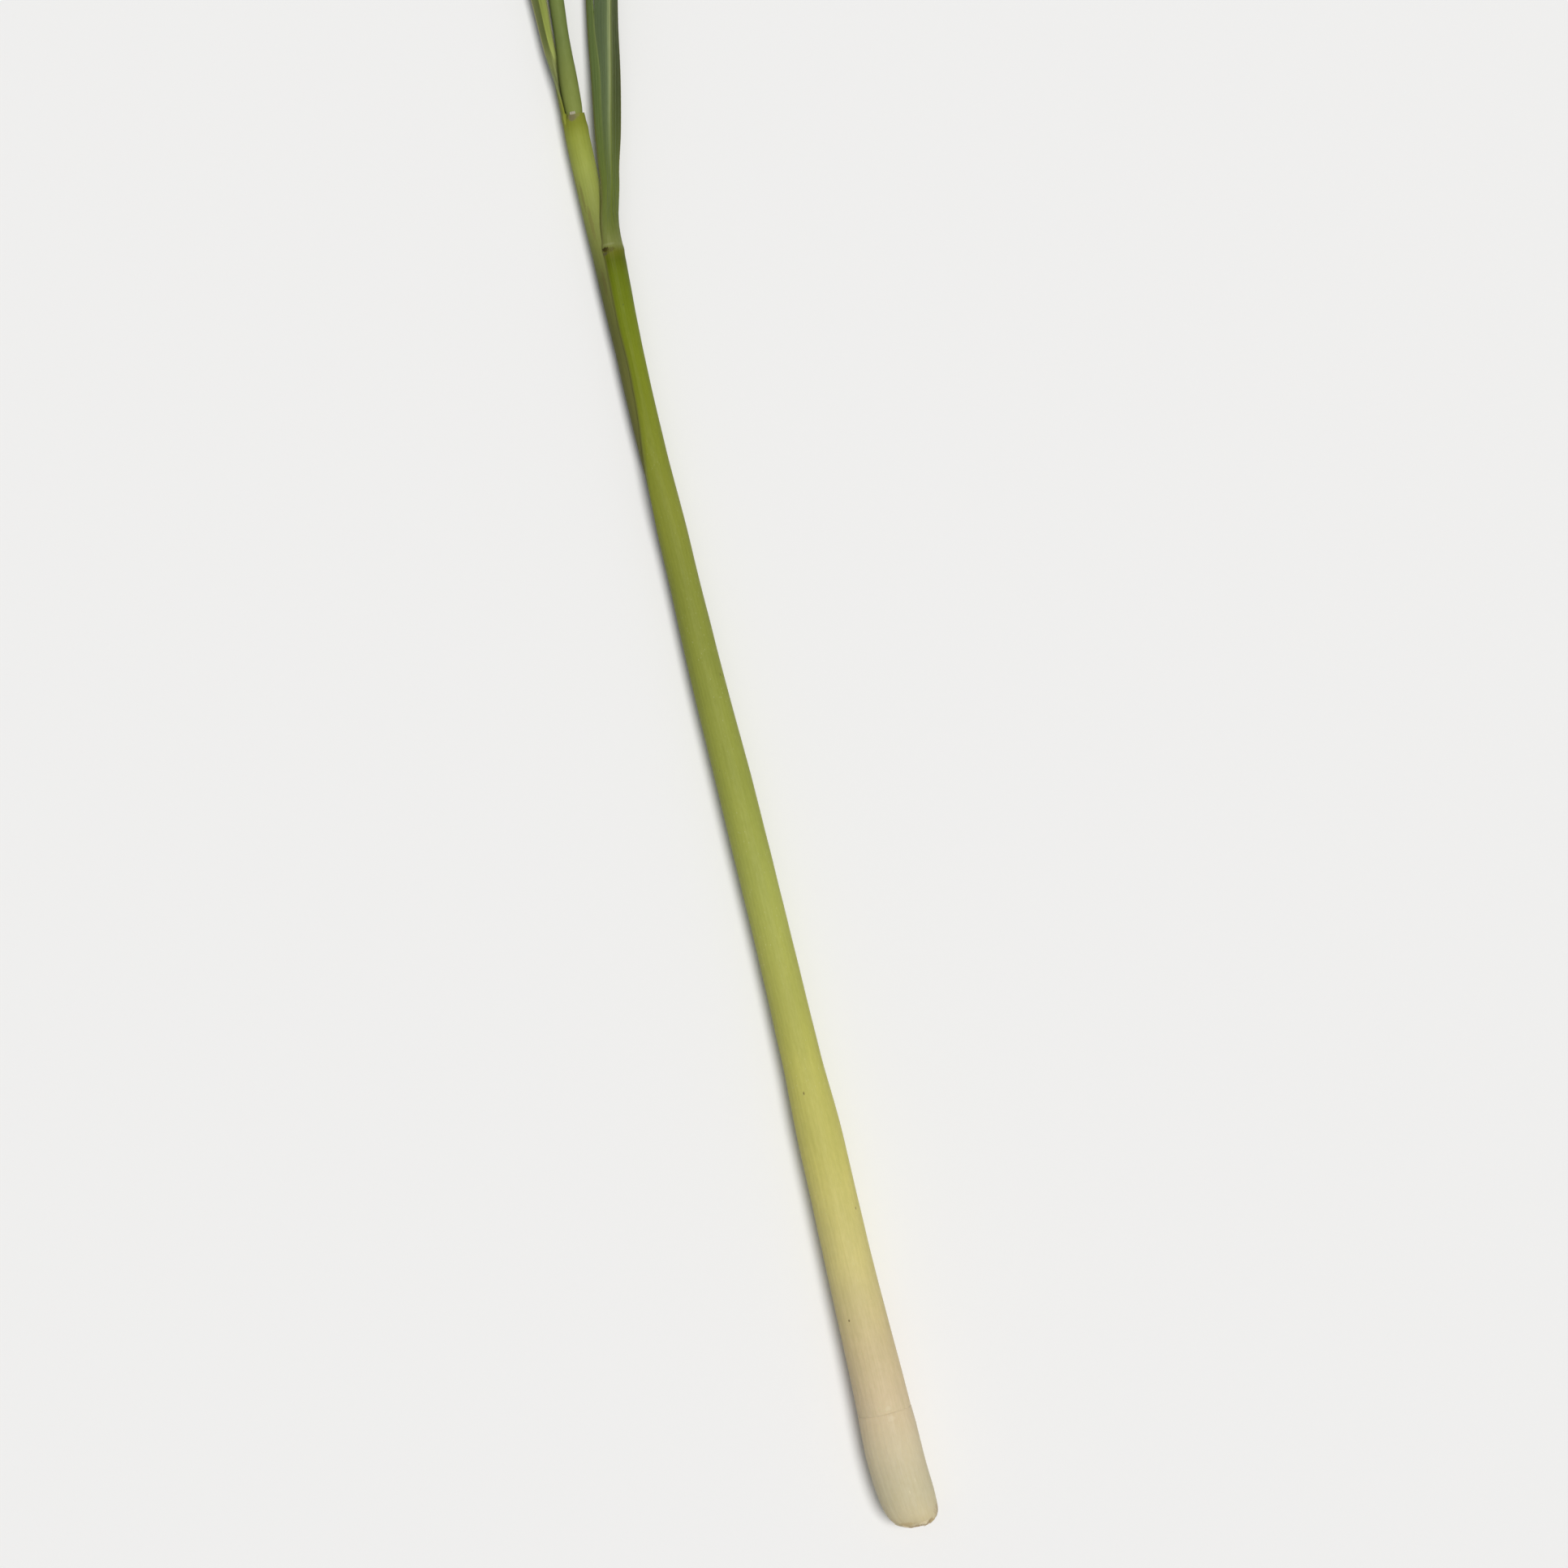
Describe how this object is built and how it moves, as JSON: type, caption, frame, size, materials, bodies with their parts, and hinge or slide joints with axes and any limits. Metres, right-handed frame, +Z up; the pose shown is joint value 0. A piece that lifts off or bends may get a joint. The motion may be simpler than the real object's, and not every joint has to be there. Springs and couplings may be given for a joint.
{
  "type": "lemongrass stalk",
  "caption": "Cut lemongrass stalk with a swollen pale foot, a long rolled green sheath, and trimmed leaf blades folded along their keels.",
  "frame": {"origin": "on the surface, at the middle of the small flat spot under the thickest part of the foot, where the stalk rests", "axes": "+Y along the stalk from the cut foot to the trimmed leaf ends, +Z up from the surface, +X to the side that the outer leaf's blade leans to"},
  "size_m": [0.0554, 0.5507, 0.0162],
  "materials": {
    "stem_base": "fresh pale stem tissue, satin, finely ribbed along its length",
    "outer_leaf": "fresh leaf sheath, cream at the foot to deep green at the collar, satin wax bloom",
    "inner_leaf": "fresh leaf, yellow green, satin",
    "shoot": "fresh rolled leaf, mid green, satin"
  },
  "bodies": {
    "root": {"basal_stem": "stem_base", "leaf_1": "outer_leaf", "leaf_2": "inner_leaf", "young_shoot": "shoot"}
  },
  "joints": []
}
